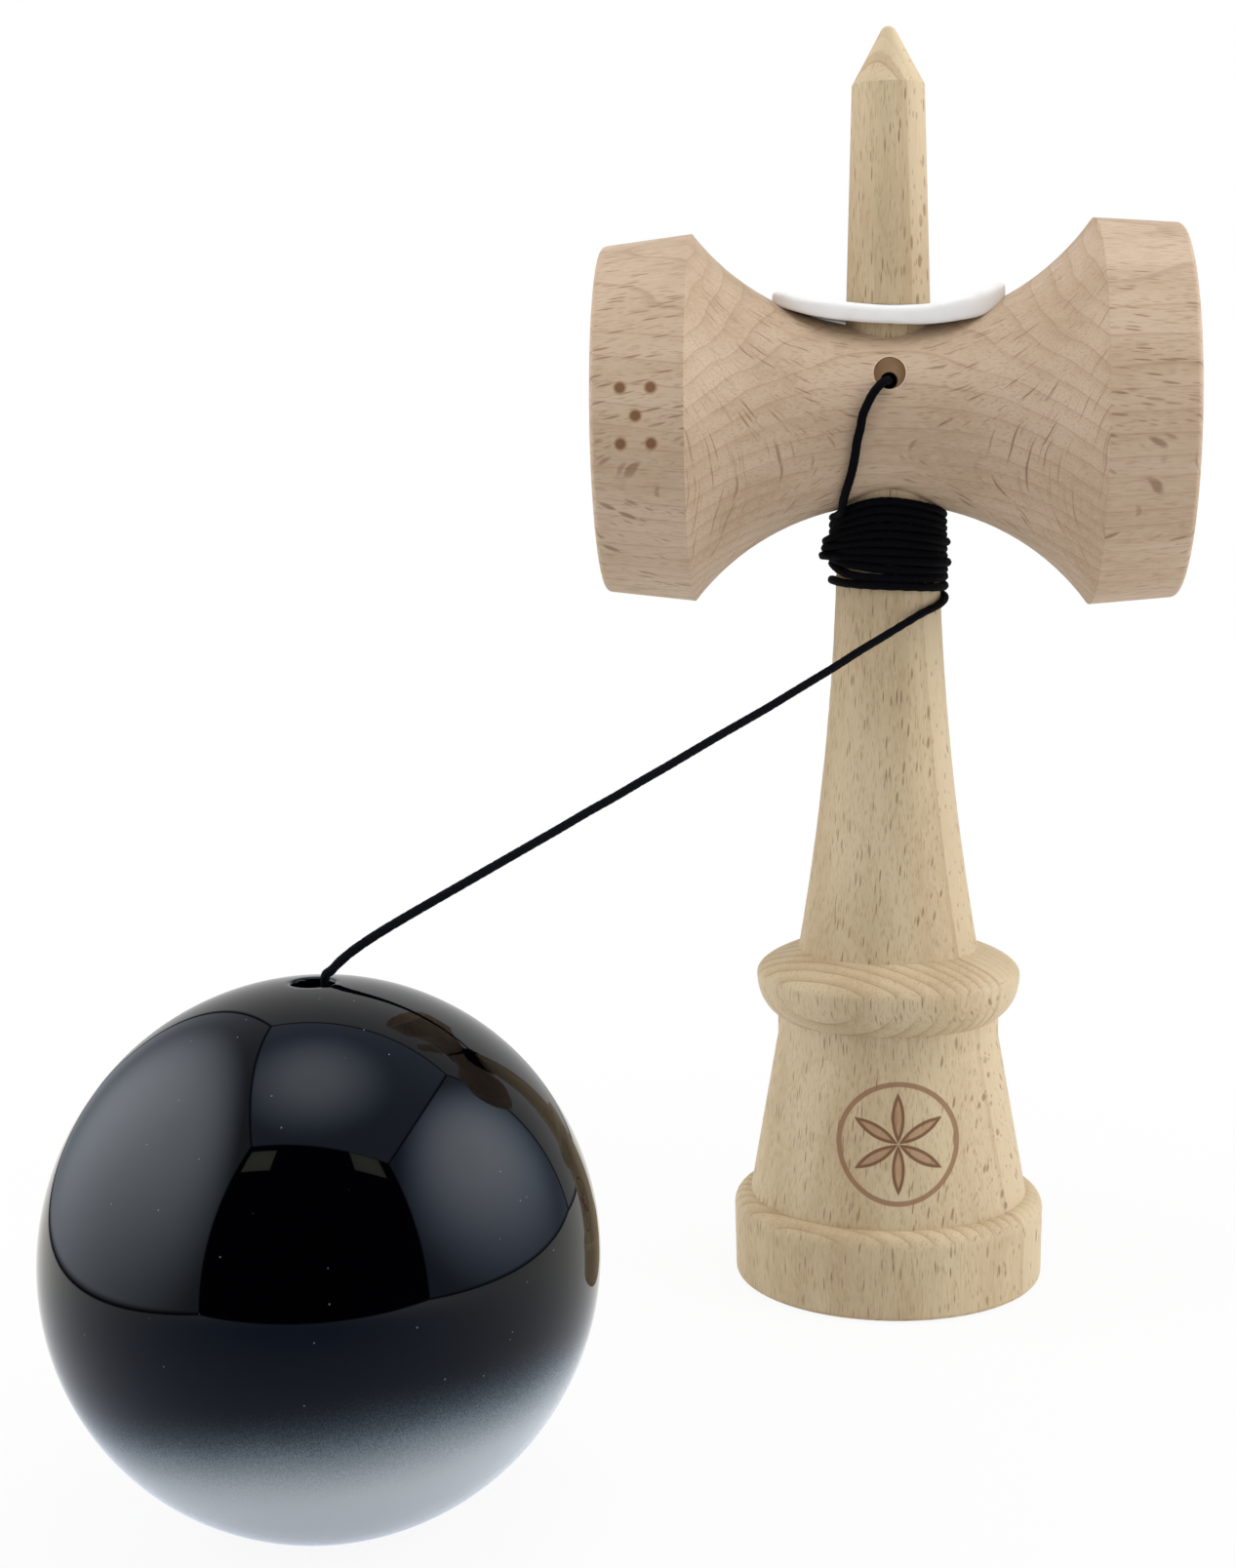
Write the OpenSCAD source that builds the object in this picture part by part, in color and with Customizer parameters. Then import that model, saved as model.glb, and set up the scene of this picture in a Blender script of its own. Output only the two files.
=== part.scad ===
// Kendama, a wooden cup and ball toy: a spiked handle, a crosspiece with two cups and a tethered ball.
// Millimetres, +Z up. The origin is on the ken's axis, on the surface that it stands on.
// +X runs along the crosspiece to the big cup, and the front of the toy faces -Y.

/* [Ken] */
// Height of the ken from its base rim to its tip
ken_h = 165; // [155:1:180]
// Radius of the rounded tip
tip_r = 1.1; // [0.6:0.1:1.8]
// Height of the pointed end of the spike
point_h = 7.3; // [6:0.1:12]
// Diameter of the spike at the foot of its point
spike_d = 9.3; // [8:0.1:10.5]
// Diameter of the shaft where it leaves the crosspiece
seat_d = 11; // [9.8:0.1:12]
// Diameter of the shaft where it enters the crosspiece from below
shaft_d = 13.2; // [12.2:0.1:15]
// Diameter of the handle where it meets the collar
handle_d = 23.9; // [21:0.1:28]
// Depth by which the handle's side is drawn in from a straight taper
handle_hollow = 1.24; // [0:0.01:1.6]
// Largest diameter of the collar
collar_d = 35.2; // [31:0.1:40]
// Height of the collar
collar_h = 9; // [7:0.1:13]
// Height of the collar's widest place above its lower edge
collar_belly_h = 5.4; // [3:0.1:6]
// Fall of the collar's top towards its edge
collar_fall = 1.8; // [0:0.1:2.4]
// Fullness that the collar's lower curve lacks
collar_tuck = 0.1; // [0:0.1:1]
// Step from the neck to the collar's lower edge
collar_step = 0.1; // [0:0.1:0.6]
// Diameter of the neck under the collar
neck_d = 29.6; // [27:0.1:30.5]
// Height of the neck
neck_h = 3.1; // [1:0.1:5]
// Height of the cone between the base band and the neck
cone_h = 21.6; // [16:0.1:25]
// Diameter of the cone at its foot
cone_d = 37.2; // [32:0.1:38]
// Largest diameter of the base band
base_d = 41.7; // [41:0.1:46]
// Narrowing of the base band's diameter at its foot
base_taper = 0.3; // [0:0.1:2]
// Height of the base band
base_h = 11.6; // [10:0.1:16]
// Rounding of the base band's upper edge
base_round = 2.1; // [0.5:0.1:2.1]
// Rounding of the base rim's outer edge
rim_round = 0.8; // [0.3:0.1:1]
// Diameter of the base cup's mouth
base_mouth_d = 35; // [30:0.1:36]
// Depth of the base cup
base_cup_depth = 8; // [5:0.1:10]

/* [Crosspiece] */
// Distance of the crosspiece's axis below the tip
cross_drop = 49.2; // [44:0.1:56]
// Width over both cup rims
cross_w = 74; // [68:0.5:80]
// Diameter of the waist
waist_d = 22.8; // [21:0.1:26]
// Radius of the hollow curve between the crests
waist_curve_r = 32; // [30:0.1:40]
// Distance of the big cup's crest from the ken's axis
big_crest_x = 26; // [22:0.1:28]
// Distance of the small cup's crest from the ken's axis
small_crest_x = 25.3; // [22:0.1:28]
// Diameter of the big cup's rim
big_rim_d = 47.8; // [46:0.1:50]
// Diameter of the small cup's rim
small_rim_d = 45; // [43:0.1:47]
// Diameter of the big cup's mouth
big_mouth_d = 44; // [38:0.1:44]
// Diameter of the small cup's mouth
small_mouth_d = 41; // [36:0.1:41]
// Depth of the big cup
big_cup_depth = 12; // [8:0.1:14]
// Depth of the small cup
small_cup_depth = 10; // [7:0.1:12]
// Rounding of the cup rims' outer edges
cup_round = 0.8; // [0.3:0.1:0.9]
// Gap between the shaft and the crosspiece's tapered bore
shaft_gap = 0.05; // [0.02:0.01:0.1]

/* [Saddle washer] */
// Length of the washer along the crosspiece
washer_l = 30; // [24:0.1:34]
// Depth of the washer from front to back
washer_w = 15; // [14.5:0.1:20]
// Thickness of the washer
washer_t = 2.2; // [1.5:0.1:3.5]
// Radius to which the washer is bent, measured on its underside
washer_curve_r = 36; // [34:0.5:45]
// Gap between the washer's hole and the shaft
washer_hole_gap = 0.25; // [0.1:0.05:0.5]
// Gap between the washer's ends and the saddle
washer_seat_gap = 0.15; // [0.05:0.05:0.3]

/* [String] */
// Diameter of the string
string_d = 1; // [0.8:0.05:1]
// Gap between the wound string and the wood under it
string_gap = 0.1; // [0.05:0.01:0.15]
// Gap between two links of the string at a pivot
pivot_gap = 0.3; // [0.2:0.05:0.4]
// Length of the string's first link, from the winding to the place where it lifts
link_l = 13.5; // [10:0.5:20]
// Climb of the winding for each turn
winding_pitch = 1.55; // [1.45:0.01:1.6]
// Whole turns of the winding
winding_turns = 6; // [4:1:6]
// Angle around the ken at which the winding starts
winding_start_angle = 200; // [190:1:210]
// Distance of the winding's first turn below the saddle's underside
winding_drop = 2.5; // [2.4:0.05:3]
// Rise of the winding's first turns towards the front, under the round crosspiece
winding_lean = 2.6; // [0:0.1:2.6]
// Height of the string's hole above the crosspiece's axis
hole_rise = 5.4; // [4:0.1:6.5]
// Diameter of the string's hole in the crosspiece
cross_hole_d = 4.1; // [3:0.1:4.5]
// Distance of the hole in the shaft below the one in the crosspiece
shaft_hole_drop = 0.9; // [0:0.1:0.9]
// Diameter of the string's hole in the shaft
shaft_hole_d = 2.2; // [1.5:0.1:3]
// Diameter of the pocket for the knot at the back of the shaft
pocket_d = 4; // [3.6:0.1:5]
// Distance of the pocket's floor behind the ken's axis
pocket_floor_y = 2; // [1:0.1:2.2]
// Diameter of the knot at the back of the shaft
anchor_knot_d = 3.2; // [2.4:0.1:3.4]
// Diameter of the knot under the bead
end_knot_d = 2.4; // [2:0.1:2.6]

/* [Ball] */
// Diameter of the ball
ball_d = 60; // [56:0.5:66]
// Place of the ball across the toy
ball_x = -62; // [-70:1:-58]
// Place of the ball in front of the ken
ball_y = -75; // [-85:1:-70]
// Diameter of the spike's hole in the ball
spike_hole_d = 22; // [20:0.1:24]
// Depth of the spike's hole above the surface that the ball stands on
spike_hole_depth = 37.6; // [34:0.1:39]
// Bevel around the mouth of the spike's hole
spike_hole_bevel = 0.8; // [0.4:0.1:1.2]
// Diameter of the bead's chamber over the spike's hole
chamber_d = 11; // [9:0.1:14]
// Height of the bead's chamber
chamber_h = 8.4; // [8:0.1:9]
// Diameter of the string's hole in the top of the ball
ball_hole_d = 4.6; // [4.4:0.1:5]
// Diameter of the bead that holds the string in the ball
bead_d = 6; // [5:0.1:6.2]
// Diameter of the hole through the bead
bead_hole_d = 1.7; // [1.4:0.1:2.2]
// Gap between the bead and the edge of the string's hole that it bears on
bead_gap = 0.3; // [0.2:0.05:0.5]
// Distance of the string from the axis of its hole, on the side of the ken
lip_offset = 1.6; // [1.2:0.1:1.6]
// Height of the string's last pivot above the edge of its hole in the ball
lip_rise = 0.4; // [0.3:0.05:0.8]

/* [Hidden] */
$fn = 96;
// Overcut of holes past the faces that they open in
over = 1;
// Straight pieces of each rounded stretch of a profile
arc_steps = 10;
// Straight pieces of the handle's hollow side
handle_steps = 24;

// Levels and radii of the ken
neck_z = base_h + cone_h;
collar_z = neck_z + neck_h;
handle_z = collar_z + collar_h;
shoulder_z = ken_h - point_h;
tip_z = ken_h - tip_r;
collar_foot_r = neck_d / 2 + collar_step;
// The band's upper edge is rounded as far as the foot of the cone leaves room
band_round = min(base_round, (base_d - cone_d) / 2 - 0.1);
base_cup_r = (pow(base_mouth_d / 2, 2) + pow(base_cup_depth, 2)) / (2 * base_cup_depth);

// Levels and radii of the crosspiece
cross_z = ken_h - cross_drop;
waist_r = waist_d / 2;
saddle_z = cross_z + waist_r;
saddle_under_z = cross_z - waist_r;
curve_centre = waist_r + waist_curve_r;
big_cup_r = (pow(big_mouth_d / 2, 2) + pow(big_cup_depth, 2)) / (2 * big_cup_depth);
small_cup_r = (pow(small_mouth_d / 2, 2) + pow(small_cup_depth, 2)) / (2 * small_cup_depth);

// The washer's ends rest on the slopes of the saddle, and its middle stands clear
washer_end_z = cross_z + waist_radius_at(washer_l / 2) + washer_seat_gap;
washer_bend_z = washer_end_z + sqrt(pow(washer_curve_r, 2) - pow(washer_l / 2, 2));

// The ball stands on the bevelled edge of its spike hole
ball_r = ball_d / 2;
ball_rest_r = spike_hole_d / 2 + spike_hole_bevel;
ball_z = sqrt(pow(ball_r, 2) - pow(ball_rest_r, 2));
chamber_top_z = spike_hole_depth + chamber_h;
bead_z = chamber_top_z - sqrt(pow(bead_d / 2 + bead_gap, 2) - pow(ball_hole_d / 2, 2));
end_knot_top_z = bead_z - bead_d / 2 - string_gap;
// Distance of a knot's flat from its middle, as a share of its radius
knot_flat = 0.85;

// The string leaves the handle along a tangent that points to the ball
string_r = string_d / 2;
string_hole_z = cross_z + hole_rise;
shaft_hole_z = string_hole_z - shaft_hole_drop;
winding_z = saddle_under_z - winding_drop;
takeoff_angle = atan2(ball_y, ball_x) + acos(wound_r(winding_end_z(0)) / norm([ball_x, ball_y]));
winding_sweep = winding_start_angle - takeoff_angle + 360 * winding_turns;
takeoff_z = winding_end_z(takeoff_angle);
takeoff = wound_r(takeoff_z) * [cos(takeoff_angle), sin(takeoff_angle)];
run_dir = ([ball_x, ball_y] - takeoff) / norm([ball_x, ball_y] - takeoff);

// Pivots of the string, as pairs: the distance from the take-off towards the ball, and the height
run_l = norm([ball_x, ball_y] - takeoff);
lip_z = ball_z + sqrt(pow(ball_r, 2) - pow(ball_hole_d / 2, 2));
swing_pivot = [string_d + pivot_gap + string_r, takeoff_z - 0.4];
lift_pivot = [link_l, takeoff_z - 5.1];
tilt_pivot = [run_l - lip_offset, lip_z + lip_rise];

// Routes of the string, chosen by hand.
// The lead: places across and in front of the ken, and heights above the crosspiece's axis
lead_route = [
    [0, -6, 4.5], [-0.2, -8.5, 4.5], [-0.45, -10, 4.4], [-0.8, -11.1, 4.25], [-1.35, -11.8, 3.8], [-1.95, -12.1, 3.1],
    [-2.5, -12.2, 2.2],
    [-3.4, -12.2, 0.2], [-3.7, -12.2, -1.4], [-4.1, -11.9, -3], [-4.4, -11.3, -5], [-4.8, -10.2, -7],
    [-5.2, -9.2, -8.4], [-5.6, -8, -9.7], [-5.9, -6.6, -10.9], [-6, -5.4, -12]
];
// The first link: distances from the take-off, and falls below it
upper_route = [[5, 1.7], [9, 3.3]];
// The long link: shares of the way between its pivots, and rises above the straight line between them
lower_route = [
    [0, 0], [0.05, -0.1], [0.1, -0.1], [0.15, -0.1], [0.2, -0.1], [0.25, 0], [0.3, 0.1], [0.35, 0.15], [0.4, 0.2],
    [0.45, 0.3], [0.5, 0.35], [0.55, 0.5], [0.6, 0.55], [0.65, 0.65], [0.7, 0.75], [0.75, 0.85], [0.8, 0.95],
    [0.85, 1.05], [0.9, 1.1], [0.93, 1.05], [0.96, 0.85], [0.98, 0.5], [0.99, 0.2], [1, 0]
];
// The tail: distances from the hole's axis, and depths below the last pivot
tail_route = [[1.6, 2.4], [1.3, 4.9], [0.7, 7.9], [0.2, 9.9]];

// Radius of the crosspiece's hollow curve at a distance from the ken's axis
function waist_radius_at(x) = curve_centre - sqrt(pow(waist_curve_r, 2) - pow(x, 2));

// Radius of the handle's wood at a height between the collar and the crosspiece
function handle_r_at(z) =
    let (share = (saddle_under_z - z) / (saddle_under_z - handle_z))
    (shaft_d + share * (handle_d - shaft_d)) / 2 - 4 * handle_hollow * share * (1 - share);

// Radius of the shaft's taper at a height inside the crosspiece
function shaft_r_at(z) = (shaft_d - (shaft_d - seat_d) * (z - saddle_under_z) / waist_d) / 2;

// Radius of the wound string's centre line at a height
function wound_r(z) = handle_r_at(z) + string_gap + string_r;

// Height of the winding's end if it leaves the handle at an angle
function winding_end_z(angle) = winding_z - winding_pitch * ((winding_start_angle - angle) / 360 + winding_turns);

// Points of a rounded stretch from a to b, drawn towards a corner
function bend(a, corner, b) = [
    for (i = [0 : arc_steps])
        let (t = i / arc_steps)
        pow(1 - t, 2) * a + 2 * t * (1 - t) * corner + pow(t, 2) * b
];

// Points of an arc of a circle
function arc(centre, r, from, to) = [
    for (i = [0 : arc_steps])
        let (angle = from + (to - from) * i / arc_steps)
        centre + r * [cos(angle), sin(angle)]
];

// Half angle of the pointed end, whose cone is tangent to the rounded tip
point_angle =
    atan(spike_d / 2 / (tip_z - shoulder_z)) - asin(tip_r / norm([spike_d / 2, tip_z - shoulder_z]));

function handle_profile() = [
    for (i = [1 : handle_steps])
        let (z = handle_z + (saddle_under_z - handle_z) * i / handle_steps)
        [handle_r_at(z), z]
];

function ken_profile() =
    let (belly = [collar_d / 2, collar_z + collar_belly_h],
         collar_low = [collar_d / 2 - collar_tuck, collar_z + collar_belly_h / 3],
         collar_high = [collar_d / 2, handle_z - collar_fall])
    concat(
        [[0, 0]],
        arc([(base_d - base_taper) / 2 - rim_round, rim_round], rim_round, -90, 0),
        arc([base_d / 2 - band_round, base_h - band_round], band_round, 0, 90),
        [[cone_d / 2, base_h], [neck_d / 2, neck_z], [neck_d / 2, collar_z]],
        bend([collar_foot_r, collar_z], collar_low, belly),
        bend(belly, collar_high, [handle_d / 2, handle_z]),
        handle_profile(),
        [[seat_d / 2, saddle_z], [spike_d / 2, shoulder_z]],
        arc([0, tip_z], tip_r, point_angle, 90)
    );

// Outline of one half of the crosspiece, without its hollow curve, as pairs of radius and distance
function half_outline(rim_d, crest_x) =
    let (crest_r = waist_radius_at(crest_x),
         slope = (crest_r - rim_d / 2) / (cross_w / 2 - crest_x))
    concat(
        [[0, cross_w / 2]],
        arc([rim_d / 2 - cup_round, cross_w / 2 - cup_round], cup_round, 90, 0),
        [[crest_r + slope * crest_x, 0]]
    );

function mirrored(points) = [for (i = [len(points) - 2 : -1 : 0]) [points[i][0], -points[i][1]]];

// Turned outside of the crosspiece, about Z, with the big cup up
module crosspiece_turning() {
    rotate_extrude() difference() {
        polygon(concat(half_outline(big_rim_d, big_crest_x), mirrored(half_outline(small_rim_d, small_crest_x))));
        translate([curve_centre, 0]) circle(waist_curve_r);
    }
}

// Points of a string's rings around a list of [point, radius]
function string_rings(path, side, sides) = [
    for (i = [0 : len(path) - 1])
        let (ahead = path[min(i + 1, len(path) - 1)][0] - path[max(i - 1, 0)][0],
             along = ahead / norm(ahead),
             u = cross(side, along) / norm(cross(side, along)),
             v = cross(along, u))
        for (k = [0 : sides - 1])
            path[i][0] + path[i][1] * (cos(360 * k / sides) * u + sin(360 * k / sides) * v)
];

// One unbroken string along a list of [point, radius]; side is a direction that no stretch follows
module string_tube(path, side, sides) {
    rings = len(path);
    last = (rings - 1) * sides;
    walls = [
        for (i = [0 : rings - 2], k = [0 : sides - 1])
            let (a = i * sides + k, b = i * sides + (k + 1) % sides)
            each [[a, a + sides, b + sides], [a, b + sides, b]]
    ];
    start_cap = [for (k = [1 : sides - 2]) [0, k, k + 1]];
    end_cap = [for (k = [1 : sides - 2]) [last, last + k + 1, last + k]];
    polyhedron(string_rings(path, side, sides), concat(walls, start_cap, end_cap));
}

// Rings of constant radius along a route
function plain(route) = [for (p = route) [p, string_r]];

// Rings of a round end at a pivot, from the outermost one in, facing away from the next point
function dome(pivot, next) =
    let (out = (pivot - next) / norm(pivot - next))
    [for (a = [25, 55]) [pivot + out * string_r * cos(a), string_r * sin(a)]];

function reversed(list) = [for (i = [len(list) - 1 : -1 : 0]) list[i]];

// Place in the toy's frame of a pair of distance from the take-off and height
function on_run(pair) = concat(takeoff + pair[0] * run_dir, [pair[1]]);

upper_points = concat(
    [on_run(swing_pivot)],
    [for (pair = upper_route) on_run([pair[0], takeoff_z - pair[1]])]
);
lower_points = [
    for (pair = lower_route)
        on_run(lift_pivot + pair[0] * (tilt_pivot - lift_pivot) + [0, pair[1]])
];
tail_points = concat(
    [on_run(tilt_pivot - [0, string_r + pivot_gap])],
    [for (pair = tail_route) on_run([run_l - pair[0] / 1.6 * lip_offset, tilt_pivot[1] - pair[1]])]
);

// Centre line of the winding, with 24 rings for each turn and straight ends of one string diameter
rings_per_turn = 24;
winding_rings = ceil(winding_sweep / 360 * rings_per_turn);
winding_turn_points = [
    for (i = [0 : winding_rings])
        let (share = i / winding_rings,
             angle = winding_start_angle - share * winding_sweep,
             front = pow((1 - sin(angle)) / 2, 2),
             z = winding_z + share * (takeoff_z - winding_z) + winding_lean * (1 - share) * front)
        [wound_r(z) * cos(angle), wound_r(z) * sin(angle), z]
];
winding_in = string_d * [sin(winding_start_angle), -cos(winding_start_angle), 0];
winding_start = winding_turn_points[0] - winding_in;
winding_end = winding_turn_points[winding_rings] + string_d * concat(run_dir, [0]);

// Least gap of the winding to itself, measured between points at least half a turn apart
function least_gap(points, apart) = min([
    for (i = [0 : len(points) - 1 - apart], j = [i + apart : len(points) - 1]) norm(points[i] - points[j])
]) - string_d;
echo(winding_least_gap = least_gap(winding_turn_points, rings_per_turn / 2));

// A knot whose flat, where the string meets it, faces +Z at the origin
module knot(d) {
    translate([0, 0, -knot_flat * d / 2]) difference() {
        sphere(d / 2);
        translate([-d, -d, knot_flat * d / 2]) cube(2 * d);
    }
}

module ken() {
    color("burlywood") difference() {
        rotate_extrude() polygon(ken_profile());
        translate([0, 0, base_cup_depth - base_cup_r]) sphere(base_cup_r);
        translate([0, 0, shaft_hole_z]) rotate([90, 0, 0])
            cylinder(d = shaft_hole_d, h = shaft_d + over, center = true);
        translate([0, pocket_floor_y, shaft_hole_z]) rotate([-90, 0, 0]) cylinder(d = pocket_d, h = shaft_d);
    }
}

module crosspiece() {
    color("tan") difference() {
        translate([0, 0, cross_z]) rotate([0, 90, 0]) crosspiece_turning();
        translate([cross_w / 2 - big_cup_depth + big_cup_r, 0, cross_z]) sphere(big_cup_r);
        translate([small_cup_depth - small_cup_r - cross_w / 2, 0, cross_z]) sphere(small_cup_r);
        shaft_bore();
        translate([0, 0, string_hole_z]) rotate([90, 0, 0]) cylinder(d = cross_hole_d, h = waist_d);
    }
}

// Tapered bore for the shaft, past both sides of the saddle
module shaft_bore() {
    low = saddle_under_z - 2 * over;
    high = saddle_z + 2 * over;
    translate([0, 0, low])
        cylinder(r1 = shaft_r_at(low) + shaft_gap, r2 = shaft_r_at(high) + shaft_gap, h = high - low);
}

// Outline of the washer from above, with round ends
module washer_outline() {
    end_x = (washer_l - washer_w) / 2;
    square([2 * end_x, washer_w], center = true);
    translate([end_x, 0]) circle(d = washer_w);
    translate([-end_x, 0]) circle(d = washer_w);
}

module saddle_washer() {
    hole_r = seat_d / 2 + washer_hole_gap;
    color("white") intersection() {
        difference() {
            translate([0, 0, washer_bend_z]) rotate([90, 0, 0])
                cylinder(r = washer_curve_r, h = 2 * washer_w, center = true);
            translate([0, 0, washer_bend_z]) rotate([90, 0, 0])
                cylinder(r = washer_curve_r - washer_t, h = 3 * washer_w, center = true);
            translate([0, 0, saddle_z - over]) cylinder(r = hole_r, h = washer_curve_r);
        }
        translate([0, 0, saddle_z - over]) linear_extrude(washer_curve_r) washer_outline();
    }
}

module string_anchor_knot() {
    color("black") translate([0, pocket_floor_y + string_gap, shaft_hole_z]) rotate([90, 0, 0])
        knot(anchor_knot_d);
}

module string_lead() {
    knot_face = [0, pocket_floor_y + string_gap, shaft_hole_z];
    lead_points = [for (p = lead_route) p + [0, 0, cross_z]];
    color("black") string_tube(
        plain(concat([knot_face], lead_points, [winding_start - winding_in, winding_start])), [1, 0, 0], 8);
}

module string_winding() {
    color("black")
        string_tube(plain(concat([winding_start], winding_turn_points, [winding_end])), [0, 0, 1], 6);
}

module string_run_upper() {
    pivot = on_run(lift_pivot);
    from = upper_points[len(upper_points) - 1];
    end = pivot - (pivot - from) / norm(pivot - from) * (string_r + pivot_gap);
    color("black") string_tube(
        concat(dome(upper_points[0], upper_points[1]), plain(concat(upper_points, [end]))), [0, 0, 1], 8);
}

module string_run_lower() {
    last = len(lower_points) - 1;
    start_end = dome(lower_points[0], lower_points[1]);
    far_end = reversed(dome(lower_points[last], lower_points[last - 1]));
    color("black") string_tube(concat(start_end, plain(lower_points), far_end), [0, 0, 1], 8);
}

module string_tail() {
    bead_top = [ball_x, ball_y, bead_z + bead_d / 2];
    knot_face = [ball_x, ball_y, end_knot_top_z];
    color("black")
        string_tube(plain(concat(tail_points, [bead_top, knot_face])), concat(run_dir, [0]), 8);
}

module string_end_knot() {
    color("black") translate([ball_x, ball_y, end_knot_top_z]) knot(end_knot_d);
}

module ball_bead() {
    color("burlywood") translate([ball_x, ball_y, bead_z]) difference() {
        sphere(bead_d / 2);
        cylinder(d = bead_hole_d, h = bead_d + over, center = true);
    }
}

module ball() {
    hole_r = spike_hole_d / 2;
    color("dimgray") translate([ball_x, ball_y, 0]) difference() {
        translate([0, 0, ball_z]) sphere(ball_r);
        translate([0, 0, -ball_r]) cylinder(r = hole_r, h = ball_r + spike_hole_depth);
        translate([0, 0, -over]) cylinder(r1 = ball_rest_r + over, r2 = hole_r, h = spike_hole_bevel + over);
        cylinder(d = chamber_d, h = chamber_top_z);
        cylinder(d = ball_hole_d, h = ball_d);
    }
}

ken();
crosspiece();
saddle_washer();
string_anchor_knot();
string_lead();
string_winding();
string_run_upper();
string_run_lower();
string_tail();
string_end_knot();
ball_bead();
ball();
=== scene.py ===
import math

import bpy
import numpy as np
from mathutils import Matrix, Vector


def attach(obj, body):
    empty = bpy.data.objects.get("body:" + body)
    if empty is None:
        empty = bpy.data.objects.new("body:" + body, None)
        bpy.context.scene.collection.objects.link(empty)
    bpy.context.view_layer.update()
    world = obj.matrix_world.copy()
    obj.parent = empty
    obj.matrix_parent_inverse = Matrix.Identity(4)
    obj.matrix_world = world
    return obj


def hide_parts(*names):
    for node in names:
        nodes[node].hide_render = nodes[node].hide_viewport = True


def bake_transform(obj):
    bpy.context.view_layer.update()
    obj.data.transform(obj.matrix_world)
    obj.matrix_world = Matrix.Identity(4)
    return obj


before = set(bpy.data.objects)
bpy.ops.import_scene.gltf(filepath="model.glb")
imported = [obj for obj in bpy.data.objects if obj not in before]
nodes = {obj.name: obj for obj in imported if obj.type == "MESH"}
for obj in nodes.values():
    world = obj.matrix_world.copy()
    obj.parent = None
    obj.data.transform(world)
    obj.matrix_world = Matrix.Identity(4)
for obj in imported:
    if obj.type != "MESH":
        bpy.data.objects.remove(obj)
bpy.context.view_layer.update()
scene = bpy.context.scene

# Lengths below are in millimetres, as in the part's source.
MM = 0.001

# ---------------------------------------------------------------- camera
# The photograph's viewpoint: focal length in its pixels, place, and turns in degrees.
PHOTO_H = 1608
FOCAL_PX = 2464.95
CAMERA_AT = Vector((-6.99, -319.28, 115.0))
YAW, PITCH, ROLL = (math.radians(a) for a in (-5.23, -8.45, -0.92))
SENSOR = 36


def make_camera():
    """The photograph's camera."""
    ahead = Vector((math.sin(YAW) * math.cos(PITCH), math.cos(YAW) * math.cos(PITCH), math.sin(PITCH)))
    level = Vector((math.cos(YAW), -math.sin(YAW), 0))
    upright = level.cross(ahead)
    right = math.cos(ROLL) * level + math.sin(ROLL) * upright
    up = math.cos(ROLL) * upright - math.sin(ROLL) * level
    data = bpy.data.cameras.new("camera")
    data.sensor_fit = "VERTICAL"
    data.sensor_height = SENSOR
    data.lens = FOCAL_PX * SENSOR / PHOTO_H
    data.clip_start = 0.01
    camera = bpy.data.objects.new("camera", data)
    turn = Matrix((right, up, -ahead)).transposed().to_4x4()
    camera.matrix_world = Matrix.Translation(CAMERA_AT * MM) @ turn
    scene.collection.objects.link(camera)
    scene.camera = camera


make_camera()


# ---------------------------------------------------------------- mesh helpers
def add_object(name, verts, faces, uvs=None, smooth_angle=None):
    """A mesh object from vertices in millimetres; uvs gives one pair for each face corner."""
    mesh = bpy.data.meshes.new(name)
    mesh.from_pydata([tuple(v) for v in np.asarray(verts, float) * MM], [], [tuple(f) for f in faces])
    if uvs is not None:
        layer = mesh.uv_layers.new(name="along")
        layer.data.foreach_set("uv", np.asarray(uvs, np.float32).ravel())
    mesh.polygons.foreach_set("use_smooth", [True] * len(mesh.polygons))
    if smooth_angle is not None:
        mesh.set_sharp_from_angle(angle=math.radians(smooth_angle))
    mesh.update()
    obj = bpy.data.objects.new(name, mesh)
    scene.collection.objects.link(obj)
    return obj


def ring_faces(rings, sides, closed_rings=False):
    """Quads between rings of vertices; closed_rings joins the last ring to the first."""
    faces = []
    for i in range(rings if closed_rings else rings - 1):
        j = (i + 1) % rings
        for k in range(sides):
            m = (k + 1) % sides
            faces.append((i * sides + k, i * sides + m, j * sides + m, j * sides + k))
    return faces


def curve_through(points, step):
    """Points every step along a smooth curve through the route's points."""
    p = np.asarray(points, float)
    before = np.vstack([2 * p[0] - p[1], p[:-1]])
    after = np.vstack([p[1:], 2 * p[-1] - p[-2]])
    fine = []
    for i in range(len(p) - 1):
        span = np.linalg.norm(p[i + 1] - p[i])
        reach_a = np.linalg.norm(p[i] - before[i]) + span
        reach_b = np.linalg.norm(after[i + 1] - p[i + 1]) + span
        tangent_a = (p[i + 1] - before[i]) / reach_a * span
        tangent_b = (after[i + 1] - p[i]) / reach_b * span
        t = np.linspace(0, 1, max(4, int(span / step) * 3), endpoint=False)[:, None]
        fine.append((2 * t**3 - 3 * t**2 + 1) * p[i] + (t**3 - 2 * t**2 + t) * tangent_a
                    + (3 * t**2 - 2 * t**3) * p[i + 1] + (t**3 - t**2) * tangent_b)
    return evenly(np.vstack(fine + [p[-1:]]), step)


def evenly(line, step):
    """The same line with its points at equal distances of about step."""
    run = np.concatenate([[0], np.cumsum(np.linalg.norm(np.diff(line, axis=0), axis=1))])
    at = np.linspace(0, run[-1], max(2, int(round(run[-1] / step)) + 1))
    return np.column_stack([np.interp(at, run, line[:, i]) for i in range(3)])


def length_of(line):
    """Length along a line of points."""
    return float(np.linalg.norm(np.diff(line, axis=0), axis=1).sum())


STRING_D = 1.0
# Gap between the wound string and the wood
STRING_GAP = 0.06
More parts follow.
